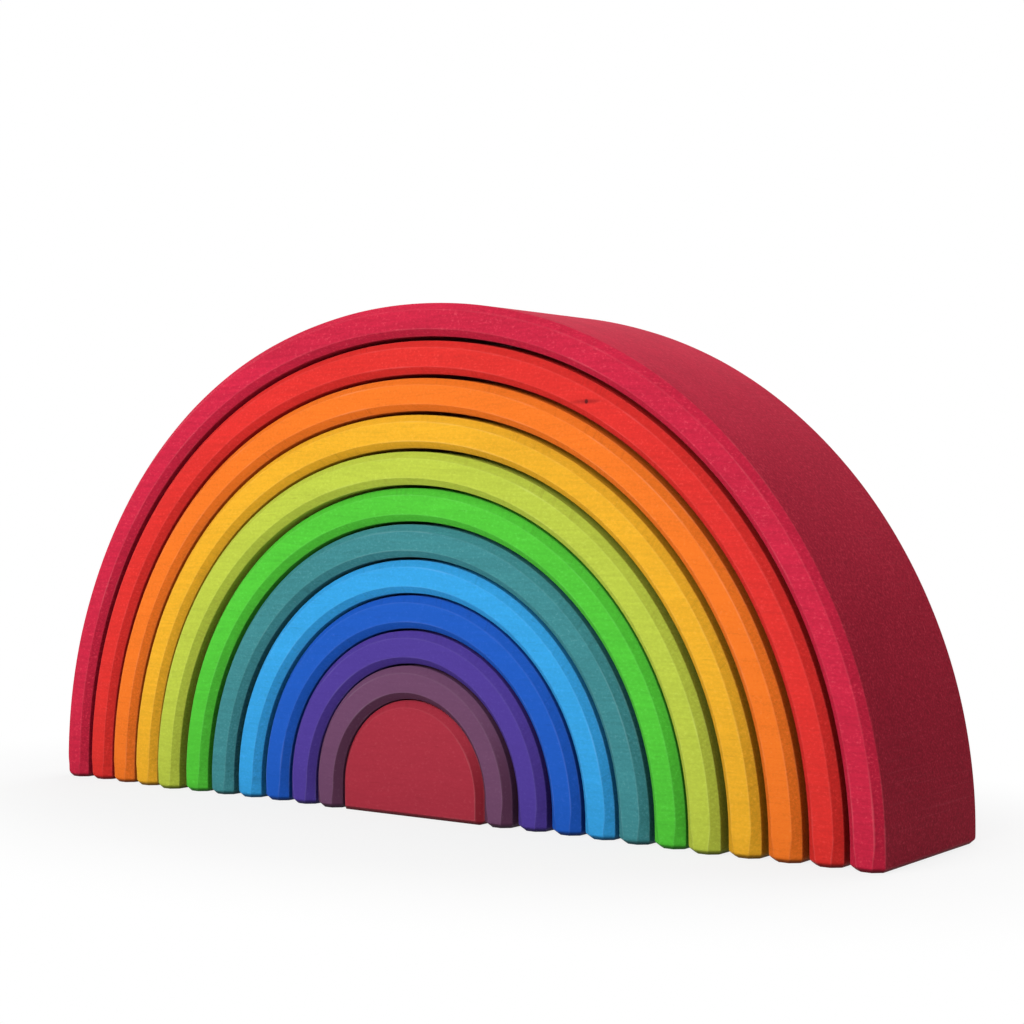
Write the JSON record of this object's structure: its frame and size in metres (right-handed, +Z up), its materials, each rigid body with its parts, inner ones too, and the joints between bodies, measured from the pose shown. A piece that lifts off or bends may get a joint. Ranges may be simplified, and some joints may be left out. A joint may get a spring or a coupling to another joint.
{
  "type": "rainbow stacker",
  "caption": "Nest of coloured wooden arches round a solid half-round core; each piece slides out to be stacked, balanced or built into tunnels and bridges.",
  "frame": {"origin": "on the floor under the middle of the core block, half way between the front and the back of the outer arch", "axes": "+X along the nest from the left feet to the right feet, +Y from the front to the back, +Z up"},
  "size_m": [0.37, 0.0731, 0.1829],
  "materials": {
    "core_stain": "matt water stain on sawn and sanded limewood",
    "plum_stain": "matt water stain on sawn and sanded limewood",
    "purple_stain": "matt water stain on sawn and sanded limewood",
    "blue_stain": "matt water stain on sawn and sanded limewood",
    "sky_stain": "matt water stain on sawn and sanded limewood",
    "teal_stain": "matt water stain on sawn and sanded limewood",
    "green_stain": "matt water stain on sawn and sanded limewood",
    "lime_stain": "matt water stain on sawn and sanded limewood",
    "yellow_stain": "matt water stain on sawn and sanded limewood",
    "orange_stain": "matt water stain on sawn and sanded limewood",
    "red_stain": "matt water stain on sawn and sanded limewood",
    "crimson_stain": "matt water stain on sawn and sanded limewood"
  },
  "bodies": {
    "core": {"core_block": "core_stain"},
    "plum": {"plum_arch": "plum_stain"},
    "purple": {"purple_arch": "purple_stain"},
    "blue": {"blue_arch": "blue_stain"},
    "sky": {"sky_arch": "sky_stain"},
    "teal": {"teal_arch": "teal_stain"},
    "green": {"green_arch": "green_stain"},
    "lime": {"lime_arch": "lime_stain"},
    "yellow": {"yellow_arch": "yellow_stain"},
    "orange": {"orange_arch": "orange_stain"},
    "red": {"red_arch": "red_stain"},
    "crimson": {"crimson_arch": "crimson_stain"}
  },
  "joints": [
    {"name": "core_slide", "type": "slide", "parent": "crimson", "child": "core", "axis": [0, -1, 0], "range_m": [-0.08, 0.08]},
    {"name": "plum_slide", "type": "slide", "parent": "crimson", "child": "plum", "axis": [0, -1, 0], "range_m": [-0.08, 0.08]},
    {"name": "purple_slide", "type": "slide", "parent": "crimson", "child": "purple", "axis": [0, -1, 0], "range_m": [-0.08, 0.08]},
    {"name": "blue_slide", "type": "slide", "parent": "crimson", "child": "blue", "axis": [0, -1, 0], "range_m": [-0.08, 0.08]},
    {"name": "sky_slide", "type": "slide", "parent": "crimson", "child": "sky", "axis": [0, -1, 0], "range_m": [-0.08, 0.08]},
    {"name": "teal_slide", "type": "slide", "parent": "crimson", "child": "teal", "axis": [0, -1, 0], "range_m": [-0.08, 0.08]},
    {"name": "green_slide", "type": "slide", "parent": "crimson", "child": "green", "axis": [0, -1, 0], "range_m": [-0.08, 0.08]},
    {"name": "lime_slide", "type": "slide", "parent": "crimson", "child": "lime", "axis": [0, -1, 0], "range_m": [-0.08, 0.08]},
    {"name": "yellow_slide", "type": "slide", "parent": "crimson", "child": "yellow", "axis": [0, -1, 0], "range_m": [-0.08, 0.08]},
    {"name": "orange_slide", "type": "slide", "parent": "crimson", "child": "orange", "axis": [0, -1, 0], "range_m": [-0.08, 0.08]},
    {"name": "red_slide", "type": "slide", "parent": "crimson", "child": "red", "axis": [0, -1, 0], "range_m": [-0.08, 0.08]}
  ]
}
